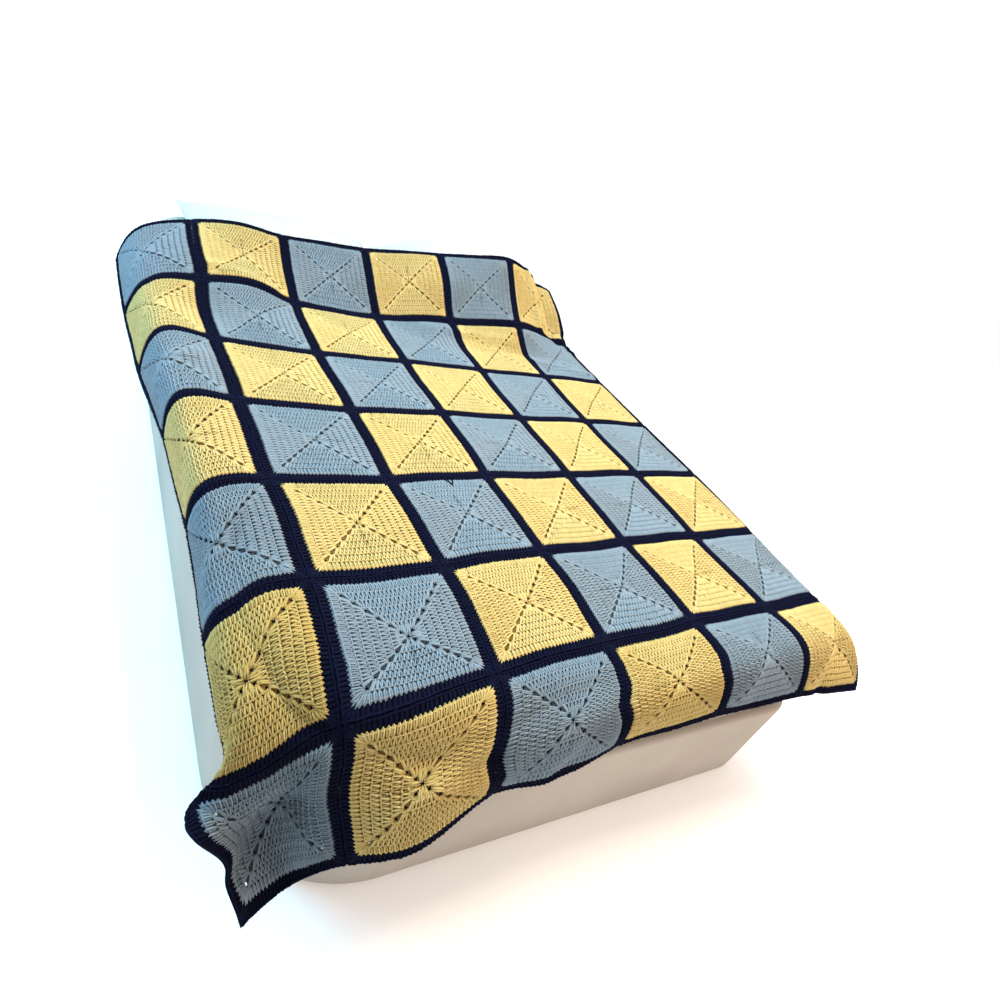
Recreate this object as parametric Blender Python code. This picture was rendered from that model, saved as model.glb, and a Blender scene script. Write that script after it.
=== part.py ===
"""Crocheted granny square blanket, draped over a plain double bed.

The blanket is 42 crocheted squares, 6 across and 7 up. Each square is one solid with its own
edging, and lies a hair's breadth from the next, where the two are crocheted together.
It lies on a mattress, falls over the left and foot edges and rises over two pillows.

Metres, +Z up, +X to the bed's right, +Y from the foot to the head.
The origin is on the floor, under the middle of the whole object.
A place on the blanket is (u, v), in squares from its left hem and from its foot hem.
"""
import math

import bmesh
import bpy
import numpy as np

# ---------------------------------------------------------------- driving sizes, in metres

PITCH = 0.250            # one square with its edging, laid flat
COLUMNS = 6
ROWS = 7
CLOTH = 0.004            # thickness of the crochet
SEAM_GAP = 0.0003        # between two squares, and between faces that touch
EYELET = 0.006           # side of the open space at a corner of a round
EYELET_IN = 0.136        # its middle, from the square's edge, as a share of PITCH

BASE_HEIGHT = 0.270
BASE_INSET = 0.010
BASE_ROUNDING = 0.012
MATTRESS_WIDTH = 1.370
MATTRESS_LENGTH = 1.900
MATTRESS_HEIGHT = 0.250
MATTRESS_CORNER = 0.100  # radius of the corners, seen from above
WORN_CORNER = 0.290      # the same, at the foot's left corner, under the hanging square
MATTRESS_SHOULDER = 0.084
MATTRESS_LEFT = -0.634   # the left edge's X
MATTRESS_FOOT = -0.912   # the foot edge's Y
MATTRESS_TOP = BASE_HEIGHT + SEAM_GAP + MATTRESS_HEIGHT
CORNER_STEPS = 5         # faces round a corner, seen from above
WORN_STEPS = 8
SHOULDER_STEPS = 3       # faces over the mattress's rims, and over the base's
BASE_STEPS = 2

DRAPE_SHOULDER = 0.070   # the cloth bends over the edges less softly than the mattress does
DRAPE_CLEARANCE = 0.005  # between the cloth and the mattress's sides
DRAPE_PASSES = 3         # times that the cloth is pushed clear of the mattress
FLAT_POWER = 30          # how soon that clearance opens where the mattress turns down
SLOPE_STEP = 0.0001      # across which a slope is measured, in metres
CLOTH_STEP = 0.01        # the same along the cloth, in squares

# How the blanket lies on the flat top of the bed. A point of reference, then steps per square.
LAY_U = 3.5
LAY_V = 3.0
LAY_FROM_LEFT = 0.7125
LAY_FROM_FOOT = 0.600
STEP_ACROSS = 0.2442
STEP_UP = 0.2445
COLUMNS_LEAN = -0.0172   # shift of X for each square up
ROWS_LEAN = 0.0138       # shift of Y for each square across
COLUMNS_BOW = 0.0016     # shift of X, growing with the square of the distance up
CREEP = 0.022            # the cloth is drawn towards the foot near the hanging corner
CREEP_U = 1.6
CREEP_V = 2.0
CREEP_REACH = 1.0
RIGHT_REACH = 0.055      # how far over the right shoulder the cloth bends with it
HANG_FADE = 0.100        # a drop over the foot edge at which that bend has died away

# The cloth that hangs over the left edge, a row for each seam or half square up the blanket.
# out: beyond the mattress's edge. drop: below the lay on the bed. shift: along the edge.
# half is half a square in from the hem, crest is a whole square in.
LEFT_HANG = [
    # v, hem_out, hem_drop, hem_shift, half_out, half_drop, half_shift, crest_drop
    (1.0, 0.055, 0.236, 0.030, -0.012, 0.130, 0.006, 0.000),
    (1.5, 0.020, 0.143, -0.002, 0.001, 0.052, -0.030, 0.000),
    (2.0, 0.020, 0.148, 0.007, 0.006, 0.037, -0.020, 0.004),
    (2.5, 0.020, 0.136, 0.010, 0.004, 0.026, -0.018, 0.000),
    (3.0, 0.022, 0.130, 0.016, 0.010, 0.006, -0.017, 0.000),
    (4.0, 0.042, 0.104, 0.010, 0.028, -0.020, -0.016, -0.006),
    (5.0, 0.072, 0.104, 0.006, 0.042, -0.024, -0.016, -0.010),
    (6.0, 0.090, 0.085, 0.000, 0.048, -0.022, -0.017, -0.040),
    (6.5, 0.096, 0.065, -0.005, 0.054, -0.036, -0.018, -0.070),
    (7.0, 0.100, 0.045, -0.010, 0.055, -0.053, -0.020, -0.095),
]

# The cloth that hangs over the foot edge, a row for each seam or half square across.
FOOT_HANG = [
    # u, hem_out, hem_drop, hem_shift, half_out, half_drop, half_shift, crest_drop
    (1.0, 0.040, 0.268, -0.021, -0.005, 0.150, -0.017, 0.000),
    (1.5, 0.074, 0.205, -0.043, 0.031, 0.088, -0.044, 0.004),
    (2.0, 0.036, 0.168, -0.024, 0.024, 0.064, -0.038, 0.004),
    (2.5, 0.050, 0.150, -0.036, 0.022, 0.032, -0.042, 0.004),
    (3.0, 0.028, 0.127, -0.008, 0.014, 0.016, -0.030, 0.004),
    (4.0, 0.035, 0.098, -0.008, 0.002, -0.010, -0.026, -0.004),
    (5.0, 0.045, 0.084, -0.010, -0.008, -0.016, -0.022, -0.006),
    (6.0, 0.057, 0.102, -0.020, -0.018, 0.005, -0.010, -0.008),
]

# The corner square's fold: a ridge along its upper seam, a hollow below it, the tip hanging.
# The rows from u = 1.5 to 3 place the seam that lies along the foot edge.
# in_left and in_foot: inside the mattress's two edges. Rows at quarters are on the hem alone.
CORNER_FOLD = [
    # u, v, in_left, in_foot, drop
    (0.0, 0.00, 0.007, -0.056, 0.345),
    (0.5, 0.00, 0.082, -0.013, 0.370),
    (0.0, 0.25, -0.007, -0.014, 0.297),
    (0.0, 0.50, -0.020, 0.008, 0.262),
    (0.5, 0.50, 0.052, 0.060, 0.262),
    (0.0, 0.75, -0.065, 0.028, 0.212),
    (0.0, 1.00, -0.062, 0.077, 0.220),
    (1.0, 1.00, 0.118, 0.060, 0.052),
    (1.5, 1.00, 0.242, 0.072, 0.010),
    (2.0, 1.00, 0.362, 0.071, 0.004),
    (3.0, 1.00, 0.601, 0.106, 0.004),
    (0.0, 1.25, -0.018, 0.094, 0.155),
    (0.0, 1.50, -0.020, 0.166, 0.143),
    (1.0, 1.50, 0.118, 0.182, 0.020),
]

# The rise over the pillows, a row for each seam across, at v = 5.5, 6, 6.5 and 7.
HEAD_FROM = 5.0
HEAD_RISE = [
    # u, front, slope, shoulder, hem
    (1.0, 0.008, 0.045, 0.075, 0.095),
    (1.5, 0.015, 0.046, 0.070, 0.118),
    (2.0, 0.005, 0.012, 0.055, 0.110),
    (3.0, 0.000, 0.006, 0.066, 0.125),
    (4.0, 0.000, 0.030, 0.110, 0.162),
    (5.0, 0.000, 0.060, 0.127, 0.205),
    (5.5, 0.000, 0.034, 0.100, 0.165),
    (6.0, 0.000, 0.004, 0.060, 0.100),
]

# The pillows. Places are from the mattress's left and foot edges to the pillow's middle.
PILLOWS = [
    # name, from_left, from_foot, width, depth, height, seam_height
    ("pillow_left", 0.365, 1.648, 0.600, 0.460, 0.110, 0.030),
    ("pillow_right", 0.940, 1.618, 0.520, 0.460, 0.192, 0.030),
]
PILLOW_SEAM = 0.006      # height of the edge where the pillow's two halves meet
PILLOW_PINCH = 0.05      # how far the sides pull in between the corners, as a share
PILLOW_FULLNESS = 2.0    # higher is flatter on top, and a lower roundness the same
PILLOW_ROUNDNESS = 0.6
PILLOW_BELLY = 1.6       # higher spreads the flat underside nearer to the seam
PILLOW_CELLS = 8

# Where a square's mesh has its lines, as shares of PITCH. More of them where the cloth bends.
EYELET_LINES = (EYELET_IN - EYELET / PITCH / 2, EYELET_IN + EYELET / PITCH / 2)
FLAT_LINES = ()
BENT_LINES = (0.3,)
TIGHT_LINES = (0.2, 0.3, 0.4)
COLUMN_LINES = (TIGHT_LINES, TIGHT_LINES, FLAT_LINES, FLAT_LINES, FLAT_LINES, TIGHT_LINES)
ROW_LINES = (TIGHT_LINES, TIGHT_LINES, FLAT_LINES, FLAT_LINES, FLAT_LINES, BENT_LINES, BENT_LINES)

TOUCH = 0.0001           # places closer than this are one place
CLOTH_SHARP = 40         # degrees between faces, above which an edge is shaded sharp
BLOCK_SHARP = 50
PILLOW_SHARP = 60

COLLECTION = "granny_square_blanket_on_bed"

# ---------------------------------------------------------------- colours

COLOURS = {
    # name: (base colour, roughness)
    "yarn_blue": ((0.30, 0.44, 0.56, 1.0), 0.90),
    "yarn_yellow": ((0.93, 0.72, 0.24, 1.0), 0.90),
    "ticking_white": ((0.80, 0.79, 0.76, 1.0), 0.85),
    "cover_cream": ((0.72, 0.70, 0.65, 1.0), 0.90),
    "pillow_white": ((0.83, 0.82, 0.80, 1.0), 0.85),
}


def make_material(name):
    """One Principled material from the colour table."""
    colour, roughness = COLOURS[name]
    material = bpy.data.materials.new(name)
    material.use_nodes = True
    shader = material.node_tree.nodes["Principled BSDF"]
    shader.inputs["Base Color"].default_value = colour
    shader.inputs["Roughness"].default_value = roughness
    shader.inputs["Metallic"].default_value = 0.0
    material.diffuse_color = colour
    return material


# ---------------------------------------------------------------- the drape

HALF_U = [half / 2 for half in range(2 * COLUMNS + 1)]
HALF_V = [half / 2 for half in range(2 * ROWS + 1)]
KNOTS_V = sorted(HALF_V + [0.25, 0.75, 1.25])


def smooth_curve(knots, values, at):
    """Points at `at` of a smooth curve through `values`, whose first axis goes with `knots`."""
    knots = np.asarray(knots, float)
    at = np.asarray(at, float)
    spread = (-1,) + (1,) * (values.ndim - 1)
    span = np.diff(knots)
    slope = np.diff(values, axis=0) / span.reshape(spread)
    share = (span[1:] / (span[:-1] + span[1:])).reshape(spread)
    tangent = np.empty_like(values)
    tangent[1:-1] = slope[:-1] * share + slope[1:] * (1 - share)
    tangent[0] = 1.5 * slope[0] - 0.5 * tangent[1]
    tangent[-1] = 1.5 * slope[-1] - 0.5 * tangent[-2]
    left = np.clip(np.searchsorted(knots, at, side="right") - 1, 0, len(span) - 1)
    width = span[left].reshape(spread)
    t = ((at - knots[left]) / span[left]).reshape(spread)
    return (
        (2 * t**3 - 3 * t**2 + 1) * values[left]
        + (t**3 - 2 * t**2 + t) * width * tangent[left]
        + (3 * t**2 - 2 * t**3) * values[left + 1]
        + (t**3 - t**2) * width * tangent[left + 1]
    )


def column_of(table, index, at):
    """One column of a table, read at `at` along its first column."""
    rows = np.array(table, float)
    return float(np.interp(at, rows[:, 0], rows[:, index]))


def lay_point(u, v):
    """Where (u, v) lies on the top of the bed. The cloth's middle is at height 0 there."""
    bow = COLUMNS_BOW * max(v - LAY_V, 0.0) ** 2
    reach = ((u - CREEP_U) ** 2 + (v - CREEP_V) ** 2) / (2 * CREEP_REACH**2)
    x = LAY_FROM_LEFT + STEP_ACROSS * (u - LAY_U) + COLUMNS_LEAN * (v - LAY_V) + bow
    y = LAY_FROM_FOOT + ROWS_LEAN * (u - LAY_U) + STEP_UP * (v - LAY_V) - CREEP * math.exp(-reach)
    return [x, y, 0.0]


def drape_knots():
    """The cloth's middle at each knot, from the mattress's left and foot edges and its lay."""
    knots = np.array([[lay_point(u, v) for u in HALF_U] for v in HALF_V])
    for j, v in enumerate(HALF_V):
        if v >= 1:
            hang_left(knots[j], v)
    for i, u in enumerate(HALF_U):
        if u >= 1:
            hang_foot(knots[:, i], u)
            rise_head(knots[:, i], u)
    for u, v, in_left, in_foot, drop in CORNER_FOLD:
        if v in HALF_V:
            knots[HALF_V.index(v), HALF_U.index(u)] = (in_left, in_foot, -drop)
    knots = smooth_curve(HALF_V, knots, KNOTS_V)
    for u, v, in_left, in_foot, drop in CORNER_FOLD:
        knots[KNOTS_V.index(v), HALF_U.index(u)] = (in_left, in_foot, -drop)
    return knots


def hang_left(row, v):
    """Bend the first three knots of a row over the left edge."""
    hem = [column_of(LEFT_HANG, index, v) for index in (1, 2, 3)]
    half = [column_of(LEFT_HANG, index, v) for index in (4, 5, 6)]
    row[0] = (-hem[0], row[0][1] + hem[2], -hem[1])
    row[1] = (-half[0], row[1][1] + half[2], -half[1])
    row[2][2] = -column_of(LEFT_HANG, 7, v)


def hang_foot(column, u):
    """Bend the first three knots of a column over the foot edge."""
    hem = [column_of(FOOT_HANG, index, u) for index in (1, 2, 3)]
    half = [column_of(FOOT_HANG, index, u) for index in (4, 5, 6)]
    column[0] = (column[0][0] + hem[2], -hem[0], -hem[1])
    column[1] = (column[1][0] + half[2], -half[0], -half[1])
    if u > 1:
        column[2][2] = -column_of(FOOT_HANG, 7, u)


def rise_head(column, u):
    """Lift a column's last knots over the pillows, and draw them in by what the slope takes."""
    first = HALF_V.index(HEAD_FROM)
    step = STEP_UP / 2
    height = 0.0
    drawn_in = 0.0
    for index in (1, 2, 3, 4):
        rise = column_of(HEAD_RISE, index, u)
        drawn_in += step - math.sqrt(step**2 - (rise - height) ** 2)
        height = rise
        column[first + index][2] = height
        column[first + index][1] -= drawn_in


KNOTS = drape_knots()


def mattress_distance(points):
    """How far points are outside the rounded mattress, in the frame of the knots."""
    across = points[..., 0] - MATTRESS_WIDTH / 2
    along = points[..., 1] - MATTRESS_LENGTH / 2
    corner = np.where((across < 0) & (along < 0), WORN_CORNER, MATTRESS_CORNER)
    past_x = np.abs(across) - (MATTRESS_WIDTH / 2 - corner)
    past_y = np.abs(along) - (MATTRESS_LENGTH / 2 - corner)
    outside = np.hypot(np.maximum(past_x, 0), np.maximum(past_y, 0))
    plan = outside + np.minimum(np.maximum(past_x, past_y), 0) - corner
    top = -(CLOTH / 2 + SEAM_GAP)
    past_plan = plan + DRAPE_SHOULDER
    past_top = points[..., 2] - (top - DRAPE_SHOULDER)
    outside = np.hypot(np.maximum(past_plan, 0), np.maximum(past_top, 0))
    return outside + np.minimum(np.maximum(past_plan, past_top), 0) - DRAPE_SHOULDER


def rest_on_mattress(points):
    """Push points out along the mattress's own normal until the cloth clears it."""
    for _ in range(DRAPE_PASSES):
        distance = mattress_distance(points)
        normal = np.empty_like(points)
        for axis in range(3):
            step = np.zeros(3)
            step[axis] = SLOPE_STEP
            ahead = mattress_distance(points + step)
            behind = mattress_distance(points - step)
            normal[..., axis] = ahead - behind
        length = np.linalg.norm(normal, axis=-1, keepdims=True)
        normal = normal / np.maximum(length, 1e-12)
        flatness = np.clip(normal[..., 2], 0, 1) ** FLAT_POWER
        clearance = SEAM_GAP * flatness + DRAPE_CLEARANCE * (1 - flatness)
        missing = np.maximum(CLOTH / 2 + clearance - distance, 0)
        points = points + normal * missing[..., None]
    return points


def right_sag(points):
    """How far the cloth sinks over the mattress's right shoulder."""
    past = np.clip(points[..., 0] - (MATTRESS_WIDTH - DRAPE_SHOULDER), 0, RIGHT_REACH)
    hanging = np.clip(-points[..., 2] / HANG_FADE, 0, 1)
    return (DRAPE_SHOULDER - np.sqrt(DRAPE_SHOULDER**2 - past**2)) * (1 - hanging)


def cloth_middle(us, vs):
    """The cloth's middle surface on the lattice of us and vs, in the part's frame."""
    along = smooth_curve(KNOTS_V, KNOTS, vs)
    points = np.swapaxes(smooth_curve(HALF_U, np.swapaxes(along, 0, 1), us), 0, 1)
    points[..., 2] -= right_sag(points)
    points = rest_on_mattress(points)
    lay_height = MATTRESS_TOP + SEAM_GAP + CLOTH / 2
    return points + np.array([MATTRESS_LEFT, MATTRESS_FOOT, lay_height])


def cloth_faces(us, vs):
    """The cloth's upper and lower surfaces on the lattice of us and vs."""
    us = np.asarray(us, float)
    vs = np.asarray(vs, float)
    across = cloth_middle(us + CLOTH_STEP, vs) - cloth_middle(us - CLOTH_STEP, vs)
    upward = cloth_middle(us, vs + CLOTH_STEP) - cloth_middle(us, vs - CLOTH_STEP)
    normal = np.cross(across, upward)
    normal = normal / np.linalg.norm(normal, axis=-1, keepdims=True)
    middle = cloth_middle(us, vs)
    return middle + normal * CLOTH / 2, middle - normal * CLOTH / 2


# ---------------------------------------------------------------- the squares

def mesh_lines(extra):
    """Lines across one square, from its edge to its other edge, as shares of PITCH."""
    half = sorted(EYELET_LINES + extra)
    edge = SEAM_GAP / PITCH / 2
    first = [edge] + half
    return first + [0.5] + [1 - line for line in reversed(first)]


def is_eyelet(across, up):
    """Whether a cell, given by its middle, is the open corner of a square's sixth round."""
    size = EYELET / PITCH / 2
    from_side = abs(min(across, 1 - across) - EYELET_IN)
    from_foot = abs(min(up, 1 - up) - EYELET_IN)
    return max(from_side, from_foot) < size


def make_square(name, row, column, material):
    """One crocheted square: a grid with its eyelets open, extruded through the cloth."""
    across = mesh_lines(COLUMN_LINES[column])
    up = mesh_lines(ROW_LINES[row])
    last_across = len(across) - 1
    last_up = len(up) - 1
    work = bmesh.new()
    bmesh.ops.create_grid(work, x_segments=last_across, y_segments=last_up, size=0.5)
    for vert in work.verts:
        vert.co.x = round((vert.co.x + 0.5) * last_across)
        vert.co.y = round((vert.co.y + 0.5) * last_up)
        vert.co.z = 1
    holes = []
    for face in work.faces:
        i = int(face.calc_center_median().x)
        j = int(face.calc_center_median().y)
        if is_eyelet((across[i] + across[i + 1]) / 2, (up[j] + up[j + 1]) / 2):
            holes.append(face)
    bmesh.ops.delete(work, geom=holes, context="FACES")
    lower = bmesh.ops.extrude_face_region(work, geom=work.faces[:])
    for item in lower["geom"]:
        if isinstance(item, bmesh.types.BMVert):
            item.co.z = 0
    split_walls(work)
    top, bottom = cloth_faces(np.array(across) + column, np.array(up) + row)
    for vert in work.verts:
        side = top if vert.co.z > 0.5 else bottom
        vert.co = side[round(vert.co.y), round(vert.co.x)]
    bmesh.ops.recalc_face_normals(work, faces=work.faces[:])
    return finish(name, work, material, math.radians(CLOTH_SHARP))


def split_walls(work):
    """Cut each wall on the same diagonal, so that two squares' walls stay a gap apart."""
    for face in work.faces[:]:
        upper = [vert for vert in face.verts if vert.co.z > 0.5]
        lower = [vert for vert in face.verts if vert.co.z < 0.5]
        if upper and lower:
            first = min(upper, key=lambda vert: vert.co.x + vert.co.y)
            last = max(lower, key=lambda vert: vert.co.x + vert.co.y)
            bmesh.utils.face_split(face, first, last)


# ---------------------------------------------------------------- the bed

def finish(name, work, material, sharp):
    """Turn a finished bmesh into a named, smooth shaded object in the part's collection."""
    mesh = bpy.data.meshes.new(name)
    work.to_mesh(mesh)
    work.free()
    mesh.materials.append(material)
    mesh.shade_smooth()
    mesh.set_sharp_from_angle(angle=sharp)
    item = bpy.data.objects.new(name, mesh)
    bpy.data.collections[COLLECTION].objects.link(item)
    return item


def block(width, length, height):
    """A bmesh block, its middle at the origin."""
    work = bmesh.new()
    bmesh.ops.create_cube(work, size=1.0)
    bmesh.ops.scale(work, vec=(width, length, height), verts=work.verts[:])
    return work


def upright_edges(work, worn):
    """The edges that run along Z: the one at the worn corner, or the other three."""
    edges = []
    for edge in work.edges:
        first, second = edge.verts
        upright = abs(first.co.x - second.co.x) + abs(first.co.y - second.co.y) < TOUCH
        at_worn = first.co.x < 0 and first.co.y < 0
        if upright and at_worn == worn:
            edges.append(edge)
    return edges


def rim_edges(work, height):
    """The edges round the top and bottom faces of a block of this height."""
    rims = []
    for edge in work.edges:
        first, second = edge.verts
        level = abs(first.co.z - second.co.z) < TOUCH
        if level and abs(abs(first.co.z) - height / 2) < TOUCH:
            rims.append(edge)
    return rims


def round_edges(work, edges, radius, segments):
    """Bevel some edges to a round of this radius."""
    bmesh.ops.bevel(
        work,
        geom=edges,
        offset=radius,
        offset_type="OFFSET",
        segments=segments,
        profile=0.5,
        affect="EDGES",
        clamp_overlap=True,
    )


def make_bed_block(name, inset, bottom, height, rim_radius, rim_steps, material):
    """A block of the bed, as large as the mattress less an inset, with its corners rounded."""
    work = block(MATTRESS_WIDTH - 2 * inset, MATTRESS_LENGTH - 2 * inset, height)
    round_edges(work, upright_edges(work, False), MATTRESS_CORNER - inset, CORNER_STEPS)
    round_edges(work, upright_edges(work, True), WORN_CORNER - inset, WORN_STEPS)
    round_edges(work, rim_edges(work, height), rim_radius, rim_steps)
    item = finish(name, work, material, math.radians(BLOCK_SHARP))
    item.location = (
        MATTRESS_LEFT + MATTRESS_WIDTH / 2,
        MATTRESS_FOOT + MATTRESS_LENGTH / 2,
        bottom + height / 2,
    )
    return item


def make_base(material):
    """A plain upholstered base, flat on the floor and under the mattress."""
    return make_bed_block(
        "divan_base", BASE_INSET, 0.0, BASE_HEIGHT, BASE_ROUNDING, BASE_STEPS, material
    )


def make_mattress(material):
    """A plain mattress with round corners and soft shoulders."""
    bottom = BASE_HEIGHT + SEAM_GAP
    return make_bed_block(
        "mattress", 0.0, bottom, MATTRESS_HEIGHT, MATTRESS_SHOULDER, SHOULDER_STEPS, material
    )


def pillow_crown(t):
    """Fullness of a pillow from its middle, at 0, to its seam, at 1."""
    return max(1 - abs(t) ** PILLOW_FULLNESS, 0.0) ** PILLOW_ROUNDNESS


def make_pillow(row, material):
    """A plain filled pillow, flat underneath where it lies on the mattress."""
    name, from_left, from_foot, width, depth, height, seam_height = row
    work = bmesh.new()
    bmesh.ops.create_grid(work, x_segments=PILLOW_CELLS, y_segments=PILLOW_CELLS, size=1.0)
    for vert in work.verts:
        vert.co.z = 1.0
    lower = bmesh.ops.extrude_face_region(work, geom=work.faces[:])
    for item in lower["geom"]:
        if isinstance(item, bmesh.types.BMVert):
            item.co.z = -1.0
    for vert in work.verts:
        x, y, side = vert.co
        x = math.sin(x * math.pi / 2)
        y = math.sin(y * math.pi / 2)
        full = pillow_crown(x) * pillow_crown(y)
        if side > 0:
            z = seam_height + PILLOW_SEAM / 2 + (height - seam_height - PILLOW_SEAM / 2) * full
        else:
            z = (seam_height - PILLOW_SEAM / 2) * (1 - min(PILLOW_BELLY * full, 1.0))
        across = x * width / 2 * (1 - PILLOW_PINCH * (1 - y * y))
        along = y * depth / 2 * (1 - PILLOW_PINCH * (1 - x * x))
        vert.co = (across, along, z)
    bmesh.ops.recalc_face_normals(work, faces=work.faces[:])
    item = finish(name, work, material, math.radians(PILLOW_SHARP))
    item.location = (
        MATTRESS_LEFT + from_left,
        MATTRESS_FOOT + from_foot,
        MATTRESS_TOP + SEAM_GAP,
    )
    return item


# ---------------------------------------------------------------- the whole object

def clear_scene():
    """Remove whatever the scene holds."""
    for item in list(bpy.data.objects):
        bpy.data.objects.remove(item, do_unlink=True)


def main():
    """Build the base, the mattress, the pillows and the 42 squares."""
    clear_scene()
    collection = bpy.data.collections.new(COLLECTION)
    bpy.context.scene.collection.children.link(collection)
    materials = {name: make_material(name) for name in COLOURS}
    make_base(materials["cover_cream"])
    make_mattress(materials["ticking_white"])
    for row in PILLOWS:
        make_pillow(row, materials["pillow_white"])
    for row in range(ROWS):
        for column in range(COLUMNS):
            colour = "yarn_blue" if (row + column) % 2 == 0 else "yarn_yellow"
            name = f"square_row{row + 1}_col{column + 1}"
            make_square(name, row, column, materials[colour])


main()
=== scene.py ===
"""Looks of a crocheted granny square blanket, draped over a plain double bed.

Metres, +Z up, +X to the bed's right, +Y from the foot to the head, as in the frame.
A place on the blanket is (u, v), in squares from its left hem and from its foot hem.
A place on one square is (x, y, n): metres from its middle, laid flat, and n out of the cloth.
"""
import math

import bmesh
import bpy
import numpy as np
from mathutils import Matrix, Vector


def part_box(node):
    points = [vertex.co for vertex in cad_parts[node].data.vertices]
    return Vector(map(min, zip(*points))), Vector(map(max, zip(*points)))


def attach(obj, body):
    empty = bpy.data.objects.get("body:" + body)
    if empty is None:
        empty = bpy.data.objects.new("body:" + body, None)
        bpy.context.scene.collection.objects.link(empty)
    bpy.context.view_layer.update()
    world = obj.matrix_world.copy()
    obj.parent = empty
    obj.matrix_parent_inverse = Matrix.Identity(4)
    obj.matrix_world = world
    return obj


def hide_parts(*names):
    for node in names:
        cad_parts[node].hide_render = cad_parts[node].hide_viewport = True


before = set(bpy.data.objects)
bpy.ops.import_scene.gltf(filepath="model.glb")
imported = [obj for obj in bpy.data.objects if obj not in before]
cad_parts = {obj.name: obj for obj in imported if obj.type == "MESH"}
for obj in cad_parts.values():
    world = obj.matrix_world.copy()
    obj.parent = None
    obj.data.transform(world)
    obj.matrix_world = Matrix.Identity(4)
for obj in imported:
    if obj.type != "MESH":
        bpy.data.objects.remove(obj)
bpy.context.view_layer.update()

# ---------------------------------------------------------------- driving sizes, in metres

PITCH = 0.250            # one square with its edging, laid flat
HALF = PITCH / 2
COLUMNS = 6
ROWS = 7
CLOTH = 0.004            # thickness of the crochet
SEAM_GAP = 0.0003

ROUNDS = 7               # coloured rounds of each square, before its dark edging
COLOUR_HALF = 0.110      # from the square's middle to the end of the last coloured round
ROUND = COLOUR_HALF / ROUNDS
STITCH = 2 * ROUND / 4   # each round has four more stitches a side than the last
EYELET = 0.0066          # side of the open corner of a round
EYELET_BACK = 0.0042     # its middle, inside the corner of its round
RING = 0.0054            # radius of the ring that the first round is worked into
RING_OPEN = 0.0028       # half the width of the opening in its middle

MATTRESS_WIDTH = 1.370
MATTRESS_LENGTH = 1.900
MATTRESS_CORNER = 0.100
WORN_CORNER = 0.290
MATTRESS_SHOULDER = 0.084
BASE_INSET = 0.010
BASE_RIM = 0.012
CORNER_STEPS = 10        # faces round a corner of the bed, round the worn one, and round the
WORN_STEPS = 20          # rims of the mattress and of the base
SHOULDER_STEPS = 10
RIM_STEPS = 4
PANEL_LENGTH = 1.415     # the dark cover on its top, painted shade under the blanket's holes, from the foot edge
PANEL_RIGHT = ((1.335, 0.110), (1.265, 1.330))   # and its right edge, from the foot to the head
PIPING_RADIUS = 0.004
PIPING_SIDES = 8
PIPING_STEPS = 14        # from one end of a corner to the other

BED_LOW, BED_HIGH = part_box("mattress")
MATTRESS_LEFT = BED_LOW.x
MATTRESS_FOOT = BED_LOW.y
MATTRESS_TOP = BED_HIGH.z
MIDDLE_X = MATTRESS_LEFT + MATTRESS_WIDTH / 2
MIDDLE_Y = MATTRESS_FOOT + MATTRESS_LENGTH / 2

DRAPE_SHOULDER = 0.070
DRAPE_CLEARANCE = 0.005
DRAPE_PASSES = 3
FLAT_POWER = 30
SLOPE_STEP = 0.0001

# How the blanket lies on the flat top of the bed. A point of reference, then steps per square.
LAY_U = 3.5
LAY_V = 3.0
LAY_FROM_LEFT = 0.7125
LAY_FROM_FOOT = 0.600
STEP_ACROSS = 0.2442
STEP_UP = 0.2445
COLUMNS_LEAN = -0.0172
ROWS_LEAN = 0.0138
COLUMNS_BOW = 0.0016
CREEP = 0.022
CREEP_U = 1.6
CREEP_V = 2.0
CREEP_REACH = 1.0
RIGHT_REACH = 0.055
HANG_FADE = 0.100

# The cloth that hangs over the left edge, a row for each seam or half square up the blanket.
LEFT_HANG = [
    # v, hem_out, hem_drop, hem_shift, half_out, half_drop, half_shift, crest_drop
    (1.0, 0.055, 0.236, 0.030, -0.012, 0.130, 0.006, 0.000),
    (1.5, 0.020, 0.143, -0.002, 0.001, 0.052, -0.030, 0.000),
    (2.0, 0.020, 0.148, 0.007, 0.006, 0.037, -0.020, 0.004),
    (2.5, 0.020, 0.136, 0.010, 0.004, 0.026, -0.018, 0.000),
    (3.0, 0.022, 0.130, 0.016, 0.010, 0.006, -0.017, 0.000),
    (4.0, 0.042, 0.104, 0.010, 0.028, -0.020, -0.016, -0.006),
    (5.0, 0.072, 0.104, 0.006, 0.042, -0.024, -0.016, -0.010),
    (6.0, 0.090, 0.085, 0.000, 0.048, -0.022, -0.017, -0.040),
    (6.5, 0.096, 0.065, -0.005, 0.054, -0.036, -0.018, -0.070),
    (7.0, 0.100, 0.045, -0.010, 0.055, -0.053, -0.020, -0.095),
]

# The cloth that hangs over the foot edge, a row for each seam or half square across.
FOOT_HANG = [
    # u, hem_out, hem_drop, hem_shift, half_out, half_drop, half_shift, crest_drop
    (1.0, 0.040, 0.268, -0.021, -0.005, 0.150, -0.017, 0.000),
    (1.5, 0.074, 0.205, -0.043, 0.031, 0.088, -0.044, 0.004),
    (2.0, 0.036, 0.168, -0.024, 0.024, 0.064, -0.038, 0.004),
    (2.5, 0.050, 0.150, -0.036, 0.022, 0.032, -0.042, 0.004),
    (3.0, 0.028, 0.127, -0.008, 0.014, 0.016, -0.030, 0.004),
    (4.0, 0.035, 0.098, -0.008, 0.002, -0.010, -0.026, -0.004),
    (5.0, 0.045, 0.084, -0.010, -0.008, -0.016, -0.022, -0.006),
    (6.0, 0.057, 0.102, -0.020, -0.018, 0.005, -0.010, -0.008),
]

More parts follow.
